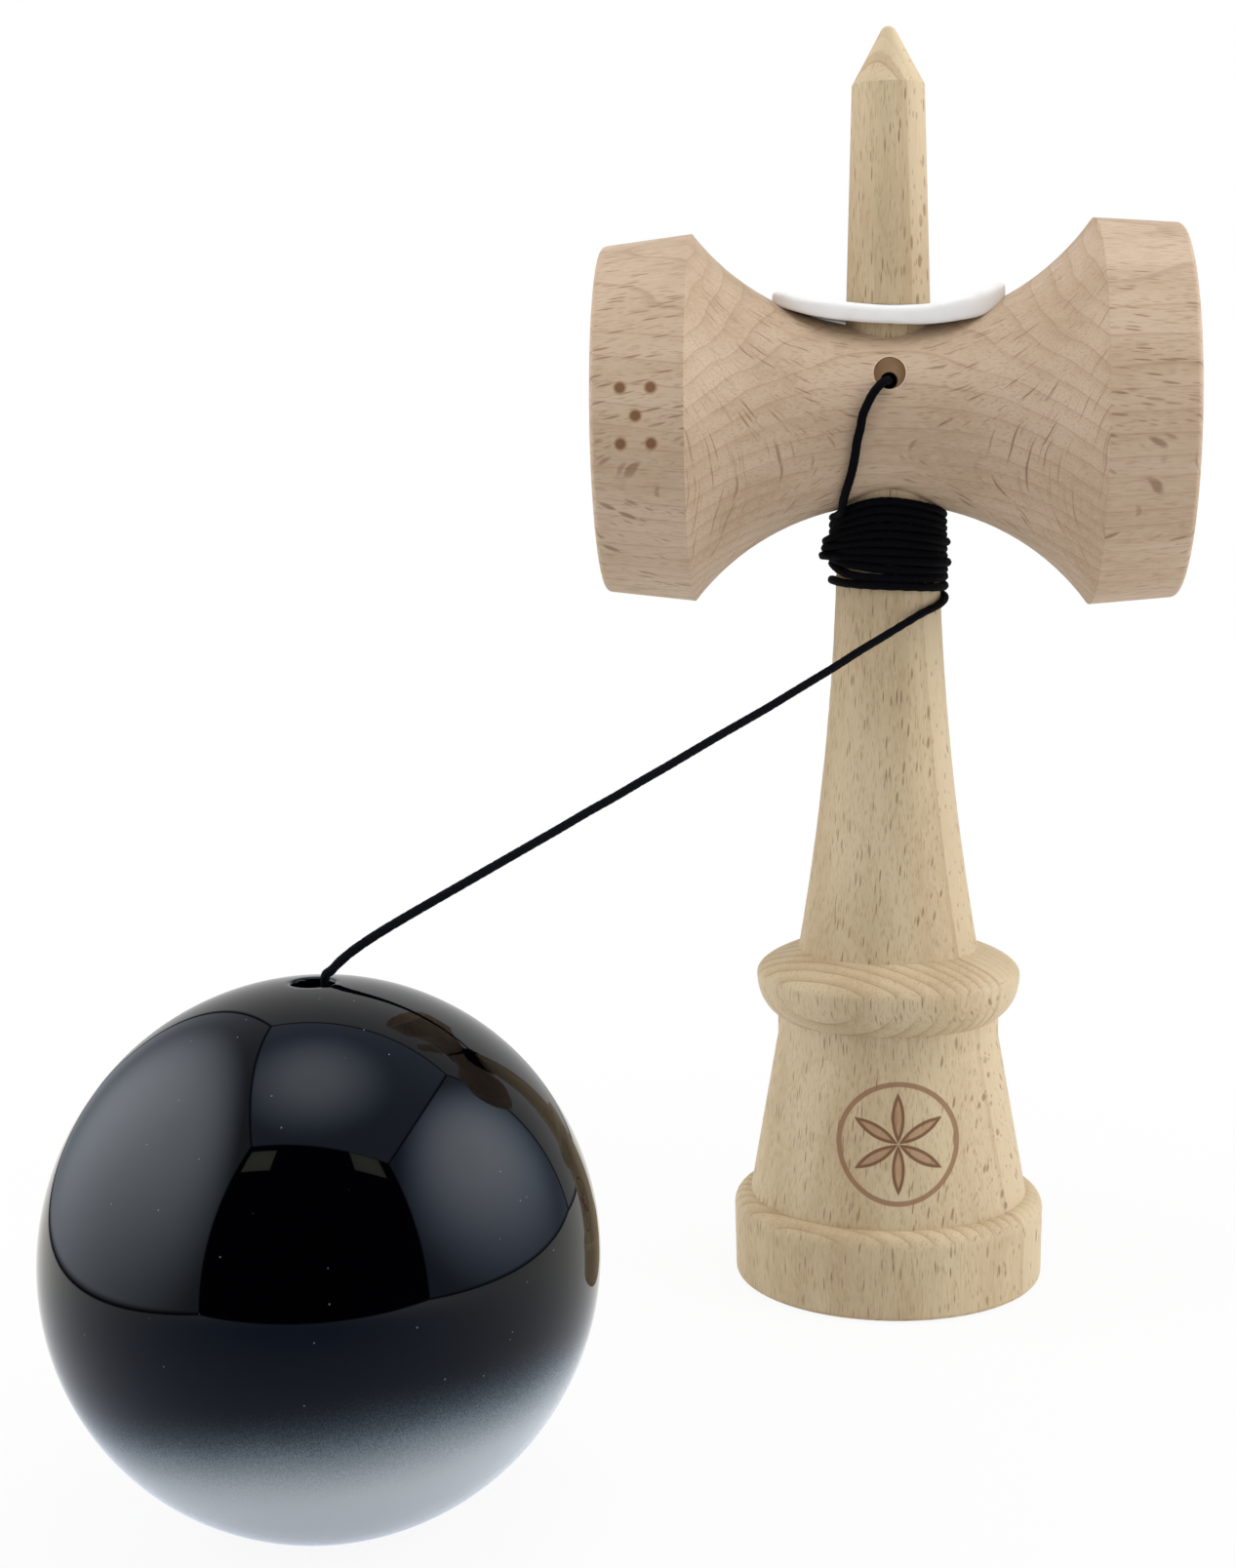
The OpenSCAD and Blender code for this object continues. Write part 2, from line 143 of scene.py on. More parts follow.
# Radius over the plaits, free and where the string lies slack and wound
STRING_R = 0.53
WOUND_R = 0.57
STRING_STEP = 0.22
STRING_SIDES = 16
# Plaits around the string, the length of one plait, and its relief
PLAITS = 4
PLAIT_L = 2.1
PLAIT_RELIEF = 0.035
# A direction that no length of string starts along
OFF_STRING = (0.31, 0.17, 0.93)


def string_mesh(name, line, closed=False, run_start=0.0, radius=STRING_R):
    """A braided string along a line of points; run_start is the length of string before it."""
    ahead = np.roll(line, -1, 0) - np.roll(line, 1, 0)
    if not closed:
        ahead[0], ahead[-1] = line[1] - line[0], line[-1] - line[-2]
    ahead /= np.linalg.norm(ahead, axis=1)[:, None]
    run = run_start + np.concatenate([[0], np.cumsum(np.linalg.norm(np.diff(line, axis=0), axis=1))])
    side = np.cross(ahead[0], OFF_STRING)
    turn = np.linspace(0, 2 * math.pi, STRING_SIDES, endpoint=False)
    verts = []
    for point, along, at in zip(line, ahead, run):
        side = side - along * np.dot(side, along)
        side /= np.linalg.norm(side)
        other = np.cross(along, side)
        wave = 2 * math.pi * at / PLAIT_L
        plait = np.maximum(np.cos(PLAITS * turn + wave), np.cos(PLAITS * turn - wave))
        r = (radius - PLAIT_RELIEF + PLAIT_RELIEF * plait)[:, None]
        verts.extend(point + r * (np.cos(turn)[:, None] * side + np.sin(turn)[:, None] * other))
    faces = ring_faces(len(line), STRING_SIDES, closed)
    uvs = []
    for i in range(len(line) if closed else len(line) - 1):
        a = run[i]
        b = a + STRING_STEP if i + 1 == len(line) else run[i + 1]
        for k in range(STRING_SIDES):
            low, high = k / STRING_SIDES, (k + 1) / STRING_SIDES
            uvs += [(low, a / PLAIT_L), (high, a / PLAIT_L), (high, b / PLAIT_L), (low, b / PLAIT_L)]
    if not closed:
        last = (len(line) - 1) * STRING_SIDES
        faces.append(tuple(range(STRING_SIDES - 1, -1, -1)))
        faces.append(tuple(range(last, last + STRING_SIDES)))
        uvs += [(0, run[0] / PLAIT_L)] * STRING_SIDES + [(0, run[-1] / PLAIT_L)] * STRING_SIDES
    return add_object(name, verts, faces, uvs)


# ---------------------------------------------------------------- the string
CROSS_Z = 115.8
SADDLE_UNDER_Z = 104.4
# The handle's foot, its diameters at its top and foot, and the depth of its hollow side
HANDLE_Z = 45.3
SHAFT_D, HANDLE_D = 13.2, 23.9
HANDLE_HOLLOW = 1.24
BALL_X, BALL_Y = -62.0, -75.0
BALL_R = 30.0
BALL_REST_R = 11.8
BALL_Z = math.sqrt(BALL_R**2 - BALL_REST_R**2)
BALL_HOLE_R = 2.3
CHAMBER_TOP_Z = 46.0
KNOT_FACE = (0, 2.1, 120.3)
TAKEOFF_ANGLE = -44.006
TAKEOFF_Z = 91.549
# Fall of the string below the pivot's height where it leaves the wood
TAKEOFF_FALL = 0.55
WINDING_START_ANGLE = 200.0
WINDING_START_Z = 103.0


def handle_r_at(z):
    """Radius of the handle's wood at a height between the collar and the crosspiece."""
    share = (SADDLE_UNDER_Z - z) / (SADDLE_UNDER_Z - HANDLE_Z)
    return (SHAFT_D + share * (HANDLE_D - SHAFT_D)) / 2 - 4 * HANDLE_HOLLOW * share * (1 - share)


def wound(angle, z, lift):
    """Place on the winding at an angle in degrees and a height; lift is the height over the wood."""
    r = handle_r_at(z) + STRING_D / 2 + STRING_GAP + lift
    return np.array((r * math.cos(math.radians(angle)), r * math.sin(math.radians(angle)), z))


# The lead from its knot inside the crosspiece, out at the front and down to the winding,
# with heights over the crosspiece's axis
LEAD = [
    (0, -6, 4.5), (-0.2, -8.5, 4.5), (-0.45, -10, 4.4), (-0.8, -11.1, 4.25), (-1.35, -11.8, 3.8),
    (-1.95, -12.1, 3.1), (-2.5, -12.2, 2.2), (-3.4, -12.2, 0.2), (-3.7, -12.2, -1.4), (-4.1, -11.9, -3),
    (-4.4, -11.3, -5), (-4.8, -10.2, -7), (-5.2, -9.2, -8.4), (-5.6, -8, -9.7), (-5.9, -6.6, -10.9),
    (-6, -5.4, -12),
]
# Heights of the winding's strands where they pass the left, right, front and left front of the handle
LEFT_Z = [102.75, 101.75, 100.85, 100.0, 99.65, 99.05, 98.75, 98.25, 97.8, 97.4, 96.8, 94.6]
RIGHT_Z = [103.0, 102.05, 101.15, 100.3, 99.4, 98.5, 97.6, 96.75, 95.85, 94.95, 93.7, 92.2]
FRONT_Z = [105.0, 103.95, 102.9, 101.8, 100.7, 99.6, 98.5, 97.4, 96.25, 95.12, 94.15]
LEFT_FRONT_Z = [104.0, 103.0, 102.05, 101.1, 100.3, 99.4, 98.6, 97.8, 96.9, 95.6, 94.4]
# Strands that ride on their neighbours, by their number, with their height over the others
LEFT_LIFT = {4: 0.9, 6: 1.0, 8: 1.3}
RIGHT_LIFT = {4: 0.4, 7: 0.45}
# How far the strands hang behind the handle
BACK_DIP = 0.1
# Degrees that count as one millimetre where the winding's rows are joined up
DEGREES_PER_MM = 10


def winding_line():
    """Places on the winding with their angles: its rows of angles, heights and lifts, joined up smoothly."""
    rows = [(WINDING_START_ANGLE, WINDING_START_Z, 0.0)]
    for i, left in enumerate(LEFT_Z):
        start = 180 - 360 * i
        rows.append((start, left, LEFT_LIFT.get(i, 0.0)))
        rows.append((start - 90, (left + RIGHT_Z[i]) / 2 - BACK_DIP, 0.0))
        rows.append((start - 180, RIGHT_Z[i], RIGHT_LIFT.get(i, 0.0)))
        if i < len(FRONT_Z):
            rows.append((start - 270, FRONT_Z[i], 0.0))
            rows.append((start - 315, LEFT_FRONT_Z[i], 0.0))
    rows.append((TAKEOFF_ANGLE - 360 * (len(LEFT_Z) - 1), TAKEOFF_Z - TAKEOFF_FALL, 0.0))
    line = curve_through(np.array(rows) * (1 / DEGREES_PER_MM, 1, 1), 0.5)
    turns = [(DEGREES_PER_MM * row[0], row[1], row[2]) for row in line]
    return [(angle, wound(angle, z, lift)) for angle, z, lift in turns]


# Seen from above: where the string leaves the handle, its direction from there, and its length to the ball's axis
takeoff = np.array((5.40835, -5.22396))
run_dir = np.array((-0.694799, -0.719204))
run_l = float(np.linalg.norm(np.array((BALL_X, BALL_Y)) - takeoff))
lip_z = BALL_Z + math.sqrt(BALL_R**2 - BALL_HOLE_R**2)
# The last pivot's distance from the hole's axis, and its height over the lip
LIP_OFFSET = 1.6
LIP_RISE = 0.4


def on_run(along, z):
    """Place over the line from the take-off to the ball."""
    return np.array((*(takeoff + along * run_dir), z))


# Pivots of the string: the distance from the take-off towards the ball, and the height
LIFT_PIVOT = (13.5, TAKEOFF_Z - 5.1)
TILT_PIVOT = (run_l - LIP_OFFSET, lip_z + LIP_RISE)
# The first run: distances from the take-off, and falls below it
UPPER = [(1.8, 1.05), (5, 2.15), (9, 3.55)]
# The long run: shares of the way between its pivots, and rises above the straight line between them
LOWER = [
    (0, 0), (0.05, -0.1), (0.1, -0.1), (0.15, -0.1), (0.2, -0.1), (0.25, 0), (0.3, 0.1), (0.35, 0.15),
    (0.4, 0.2), (0.45, 0.3), (0.5, 0.35), (0.55, 0.5), (0.6, 0.55), (0.65, 0.65), (0.7, 0.75), (0.75, 0.85),
    (0.8, 0.95), (0.85, 1.05), (0.9, 1.1), (0.93, 1.05), (0.96, 0.85), (0.98, 0.5), (0.99, 0.2), (1, 0),
]
# The tail: distances from the hole's axis, and depths below the last pivot
TAIL = [(1.6, 2.4), (1.3, 4.9), (0.7, 7.9), (0.2, 9.9)]
BEAD_R = 3.0
BEAD_GAP = 0.3
BEAD_Z = CHAMBER_TOP_Z - math.sqrt((BEAD_R + BEAD_GAP) ** 2 - BALL_HOLE_R**2)
END_KNOT_TOP_Z = BEAD_Z - BEAD_R


def run_line():
    """The free string from the take-off to the bead inside the ball."""
    points = [on_run(0, TAKEOFF_Z - TAKEOFF_FALL)]
    points += [on_run(along, TAKEOFF_Z - fall) for along, fall in UPPER]
    for share, rise in LOWER:
        along = LIFT_PIVOT[0] + share * (TILT_PIVOT[0] - LIFT_PIVOT[0])
        points.append(on_run(along, LIFT_PIVOT[1] + share * (TILT_PIVOT[1] - LIFT_PIVOT[1]) + rise))
    points += [on_run(run_l - offset, TILT_PIVOT[1] - depth) for offset, depth in TAIL]
    points += [np.array((BALL_X, BALL_Y, z)) for z in (BEAD_Z + BEAD_R, BEAD_Z, END_KNOT_TOP_Z)]
    return points


# The winding's piece ends this many degrees before the take-off, and the run is parted at these distances from it
PART_ANGLE = 174
RUN_CUTS = (8, 50)


def make_string():
    """Four lengths of one string, parted once on the winding and twice along the run."""
    turns = winding_line()
    part_angle = TAKEOFF_ANGLE + PART_ANGLE - 360 * (len(LEFT_Z) - 1)
    before = [place for angle, place in turns if angle > part_angle]
    after = [place for angle, place in turns if angle <= part_angle]
    lead = [KNOT_FACE] + [(x, y, z + CROSS_Z) for x, y, z in LEAD]
    wind = curve_through(np.vstack([lead, before, after[:1]]), STRING_STEP)
    run = curve_through(np.vstack(run_line()), STRING_STEP)
    along = (run[:, :2] - takeoff) @ run_dir
    first_cut, second_cut = (int(np.argmax(along > cut)) for cut in RUN_CUTS)
    take_off = evenly(np.vstack([after, run[1:first_cut + 1]]), STRING_STEP)
    lines = {
        "string_lead_and_winding": wind,
        "string_take_off": take_off,
        "string_run": run[first_cut:second_cut + 1],
        "string_drop": run[second_cut:],
    }
    made, start = {}, 0.0
    for name, line in lines.items():
        radius = WOUND_R if name == "string_lead_and_winding" else STRING_R
        made[name] = (string_mesh(name, line, run_start=start, radius=radius), line)
        start += length_of(line)
    return made


def declare_string(made):
    """Hide the nodes that the string's pieces take the place of, hang the lead and winding on the ken, and bake the
    other pieces in place.
    """
    replaced = {
        "string_lead_and_winding": ("string_lead", "string_winding"),
        "string_take_off": ("string_run_upper",),
        "string_run": ("string_run_lower",),
        "string_drop": ("string_tail",),
    }
    for name, (piece, line) in made.items():
        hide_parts(*replaced[name])
    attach(made["string_lead_and_winding"][0], "ken")
    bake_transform(made["string_take_off"][0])
    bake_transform(made["string_run"][0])
    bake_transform(made["string_drop"][0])


string_pieces = make_string()
declare_string(string_pieces)


KNOT_POINTS = 400
# Radius of a knot's strand as a share of the knot's width, and the depth of the knot's loops
KNOT_STRAND = 0.15
KNOT_DEPTH = 1.3
TREFOIL_REACH = 3


def make_knot(name, node, body, centre, axis, size):
    """A tight overhand knot of the string, whose depth goes along axis; size is its width."""
    t = np.linspace(0, 2 * math.pi, KNOT_POINTS, endpoint=False)
    across, up = np.sin(t) + 2 * np.sin(2 * t), np.cos(t) - 2 * np.cos(2 * t)
    trefoil = np.column_stack([across, up, -KNOT_DEPTH * np.sin(3 * t)])
    radius = KNOT_STRAND * size
    line = trefoil * (size / 2 - radius) / TREFOIL_REACH
    turn = np.array(Vector((0, 0, 1)).rotation_difference(Vector(axis)).to_matrix())
    piece = string_mesh(name, line @ turn.T + np.array(centre), closed=True, radius=radius)
    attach(piece, body)
    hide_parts(node)
    return piece


knots = [
    make_knot("knot_anchor", "string_anchor_knot", "ken", (0, 3.5, 120.3), (0, 1, 0), 3.1),
    make_knot("knot_end", "string_end_knot", "string_end", (BALL_X, BALL_Y, END_KNOT_TOP_Z - 1.0), (0, 0, 1), 2.35),
]


# ---------------------------------------------------------------- the ball
BALL_SEGMENTS = 224
BALL_ARC_STEPS = 150
# How far the lacquer stays inside the solid ball, and the rounding at the string's hole
BALL_INSET = 0.02
HOLE_EASE = 0.35
# Degrees at the ball's foot that the eased rim of the spike's hole takes up
FOOT_EASE = 0.5
SPIKE_HOLE_R = 11.0
SPIKE_HOLE_TOP = 37.6
CHAMBER_R = 5.5


def arc_points(centre, r, start, stop, count):
    """Points of an arc between two angles in degrees."""
    angles = np.radians(np.linspace(start, stop, count))
    return [(centre[0] + r * math.cos(a), centre[1] + r * math.sin(a)) for a in angles]


def make_ball():
    """The ball turned about its hole's axis, with eased edges at both holes."""
    top_angle = math.degrees(math.acos((BALL_HOLE_R + HOLE_EASE) / BALL_R))
    foot_angle = FOOT_EASE - math.degrees(math.acos(BALL_REST_R / BALL_R))
    outside = arc_points((0, BALL_Z), BALL_R - BALL_INSET, foot_angle, top_angle, BALL_ARC_STEPS)
    lip_top = outside[-1][1]
    lip = [(BALL_HOLE_R + HOLE_EASE * (1 - math.sin(a)), lip_top - HOLE_EASE * (1 - math.cos(a)))
           for a in np.radians((22, 45, 68, 90))]
    string_hole = [(BALL_HOLE_R, z) for z in (56, 54, 51, 48.5, CHAMBER_TOP_Z)]
    chamber = [(CHAMBER_R, CHAMBER_TOP_Z), (CHAMBER_R, SPIKE_HOLE_TOP), (SPIKE_HOLE_R, SPIKE_HOLE_TOP)]
    bore = [(SPIKE_HOLE_R, z) for z in (30, 22, 14, 7, 2, 1.0)]
    mouth = [(11.06, 0.72), (11.25, 0.42), (11.5, 0.16), (11.72, 0.04)]
    profile = outside + lip + string_hole + chamber + bore + mouth
    turn = np.linspace(0, 2 * math.pi, BALL_SEGMENTS, endpoint=False)
    verts = [(BALL_X + r * math.cos(a), BALL_Y + r * math.sin(a), z) for r, z in profile for a in turn]
    ball = add_object("ball_painted", verts, ring_faces(len(profile), BALL_SEGMENTS, True), smooth_angle=35)
    # The second material is the bare wood of the bead's chamber and the spike's hole
    bare_from = len(outside) + len(lip) + len(string_hole) - 2
    bare_to = len(profile) - len(mouth) - 1
    index = np.repeat([1 if bare_from <= i < bare_to else 0 for i in range(len(profile))], BALL_SEGMENTS)
    ball.data.polygons.foreach_set("material_index", index.astype(np.int32))
    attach(ball, "ball")
    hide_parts("ball")
    return ball


ball = make_ball()

# ---------------------------------------------------------------- the washer
WASHER_L, WASHER_W, WASHER_T = 30.0, 15.0, 2.4
WASHER_HOLE_R = 5.75
WASHER_POINTS = 160
# Rounding of the top's edge, the underside's edge and the hole's edges
WASHER_ROUND, WASHER_UNDER_ROUND, WASHER_HOLE_ROUND = 0.9, 0.5, 0.3
# Places across, heights of the underside and the top over the middle, and their falls at the long edges:
# it bridges the saddle on the left, and lies close and folds over it on the right
WASHER_FORM = [
    (-15, 130.45, 132.2, 0.5, 0.3), (-13.9, 130.0, 131.95, 0.4, 0.28), (-12, 129.4, 131.4, 0.25, 0.23),
    (-9.9, 128.85, 130.95, 0.26, 0.15), (-7.7, 128.45, 130.6, 0.28, 0.1), (-5.5, 128.12, 130.35, 0.25, 0.1),
    (-2.7, 127.8, 130.1, 0.22, 0.12), (0, 127.58, 129.95, 0.16, 0.13), (2.7, 127.5, 129.92, 0.23, 0.14),
    (5, 127.6, 130.0, 0.36, 0.16), (7.3, 128.0, 130.38, 0.6, 0.18), (9, 128.42, 130.75, 0.83, 0.18),
    (10.4, 128.8, 131.1, 1.18, 0.18), (12.5, 129.5, 131.85, 1.94, 0.29), (14.4, 130.35, 132.6, 2.5, 0.38),
    (15, 130.65, 132.85, 2.6, 0.4),
]


def make_washer():
    """A bent strip with round ends and eased edges around the shaft, standing off the wood on its left."""
    form = np.array(WASHER_FORM)
    under, top = (curve_through(np.column_stack([form[:, 0], 0 * form[:, 0], form[:, i]]), 0.25) for i in (1, 2))
    end_x = (WASHER_L - WASHER_W) / 2
    turn = np.linspace(0, 2 * math.pi, WASHER_POINTS, endpoint=False)
    way = np.column_stack([np.cos(turn), np.sin(turn)])
    # Distance from the middle to the outline in each direction
    side_hit = WASHER_W / 2 / np.maximum(np.abs(way[:, 1]), 1e-9)
    end_hit = end_x * np.abs(way[:, 0]) + np.sqrt((WASHER_W / 2) ** 2 - (end_x * way[:, 1]) ** 2)
    outline = np.where(side_hit * np.abs(way[:, 0]) <= end_x, side_hit, end_hit)
    t, top_r, under_r, hole_r = WASHER_T, WASHER_ROUND, WASHER_UNDER_ROUND, WASHER_HOLE_ROUND
    rounding = [(math.sin(a), 1 - math.cos(a)) for a in np.radians((0, 22, 45, 68, 90))]
    # Pairs of the distance in from an edge and the height: the outer edge, the top, the hole, and under it
    outer = [(under_r * (1 - s), under_r * c) for s, c in rounding]
    outer += [(top_r * c, t - top_r * (1 - s)) for s, c in rounding]
    inner = [(hole_r * (1 - s), t - hole_r * c) for s, c in rounding]
    inner += [(hole_r * c, hole_r * (1 - s)) for s, c in rounding]
    rings = [(outline - d, h) for d, h in outer]
    rings += [(WASHER_HOLE_R + (outline - WASHER_HOLE_R) * s, t) for s in (0.75, 0.5, 0.25)]
    rings += [(WASHER_HOLE_R + d + 0 * outline, h) for d, h in inner]
    rings += [(WASHER_HOLE_R + (outline - WASHER_HOLE_R) * s, 0.0) for s in (0.25, 0.5, 0.75)]
    verts = []
    for reach, height in rings:
        flat = way * reach[:, None]
        to_edge = (flat[:, 1] / (WASHER_W / 2)) ** 2
        low, high = (np.interp(flat[:, 0], line[:, 0], line[:, 2])
                     - to_edge * np.interp(flat[:, 0], form[:, 0], form[:, i])
                     for line, i in ((under, 3), (top, 4)))
        verts.extend(np.column_stack([flat, low + height / t * (high - low)]))
    washer = add_object("washer_strip", verts, ring_faces(len(rings), WASHER_POINTS, True), smooth_angle=50)
    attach(washer, "ken")
    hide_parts("saddle_washer")
    return washer


washer = make_washer()


# ---------------------------------------------------------------- material helpers
class Tree:
    """A material's nodes, with short calls that return the new node's output."""

    def __init__(self, name):
        self.material = bpy.data.materials.new(name)
        self.material.use_nodes = True
        self.nodes = self.material.node_tree.nodes
        self.links = self.material.node_tree.links
        self.shader = self.nodes["Principled BSDF"]

    def put(self, socket, value):
        if isinstance(value, bpy.types.NodeSocket):
            self.links.new(value, socket)
        elif value is not None:
            socket.default_value = value

    def add(self, kind, inputs=(), output=0, **settings):
        node = self.nodes.new("ShaderNode" + kind)
        for name, value in settings.items():
            setattr(node, name, value)
        for key, value in dict(inputs).items():
            self.put(node.inputs[key], value)
        return node.outputs[output]

    def math(self, operation, a, b=None, c=None):
        return self.add("Math", {0: a, 1: b, 2: c}, operation=operation)

    def times(self, a, b):
        return self.math("MULTIPLY", a, b)

    def hypot(self, a, b):
        return self.math("SQRT", self.math("ADD", self.times(a, a), self.times(b, b)))

    def vector(self, operation, a, b=None):
        return self.add("VectorMath", {0: a, 1: b}, operation=operation)

    def distance(self, a, b):
        return self.add("VectorMath", {0: a, 1: b}, "Value", operation="DISTANCE")

    def place(self):
        """The surface's place in millimetres, in the toy's frame."""
        return self.vector("MULTIPLY", self.add("TexCoord", output="Object"), (1000, 1000, 1000))

    def split(self, vector):
        node = self.nodes.new("ShaderNodeSeparateXYZ")
        self.put(node.inputs[0], vector)
        return node.outputs

    def join(self, x, y, z):
        return self.add("CombineXYZ", {0: x, 1: y, 2: z})

    def noise(self, vector, scale, detail=2.0, roughness=0.5, output="Fac"):
        inputs = {"Vector": vector, "Scale": scale, "Detail": detail, "Roughness": roughness}
        return self.add("TexNoise", inputs, output)

    def spots(self, vector, scale):
        """Distance from the nearest of many scattered points."""
        return self.add("TexVoronoi", {"Vector": vector, "Scale": scale}, "Distance")

    def step(self, value, low, high):
        """0 below low and 1 above high with a smooth change, or the other way round if low is above high."""
        if low < high:
            inputs = {0: value, 1: low, 2: high, 3: 0.0, 4: 1.0}
        else:
            inputs = {0: value, 1: high, 2: low, 3: 1.0, 4: 0.0}
        return self.add("MapRange", inputs, interpolation_type="SMOOTHSTEP")

    def mix(self, factor, a, b):
        node = self.nodes.new("ShaderNodeMix")
        node.data_type = "RGBA"
        for name, value in (("Factor_Float", factor), ("A_Color", a), ("B_Color", b)):
            self.put(next(s for s in node.inputs if s.identifier == name), value)
        return next(s for s in node.outputs if s.identifier == "Result_Color")

    def bump(self, height, distance, strength):
        """Relief; distance is in millimetres."""
        inputs = {"Height": height, "Distance": distance * MM, "Strength": strength}
        self.put(self.shader.inputs["Normal"], self.add("Bump", inputs, "Normal"))

    def set(self, **inputs):
        """Values of the shader's sockets, whose spaces are written as underscores."""
        for name, value in inputs.items():
            self.put(self.shader.inputs[name.replace("_", " ")], value)

    def surface(self, shader):
        self.put(self.nodes["Material Output"].inputs["Surface"], shader)


def colour(r, g, b):
    """A colour from its eight-bit values on a screen."""
    linear = [(v / 255 / 12.92) if v <= 10 else ((v / 255 + 0.055) / 1.055) ** 2.4 for v in (r, g, b)]
    return (*linear, 1.0)


# ---------------------------------------------------------------- wood
def on_front(t, y, depth):
    """1 on surfaces well in front of the middle, so that a mark doesn't show at the back."""
    return t.step(y, -depth + 1, -depth)


# Each wood's tones: plain wood, late wood of the rings, flecks and pale wood
KEN_TONES = ((187, 165, 131), (157, 130, 94), (122, 91, 59), (204, 185, 152))
CROSS_TONES = ((183, 158, 131), (154, 125, 97), (128, 97, 71), (199, 176, 152))
BARE_TONES = ((196, 170, 134), (170, 140, 104), (140, 108, 74), (210, 188, 155))
# Painted light: the pale tone that brightens the shaded wood inside the string's hole
HOLE_PAINTED_LIGHT = (248, 222, 190)
SCORCHED, CHARRED = (158, 118, 82), (112, 76, 48)


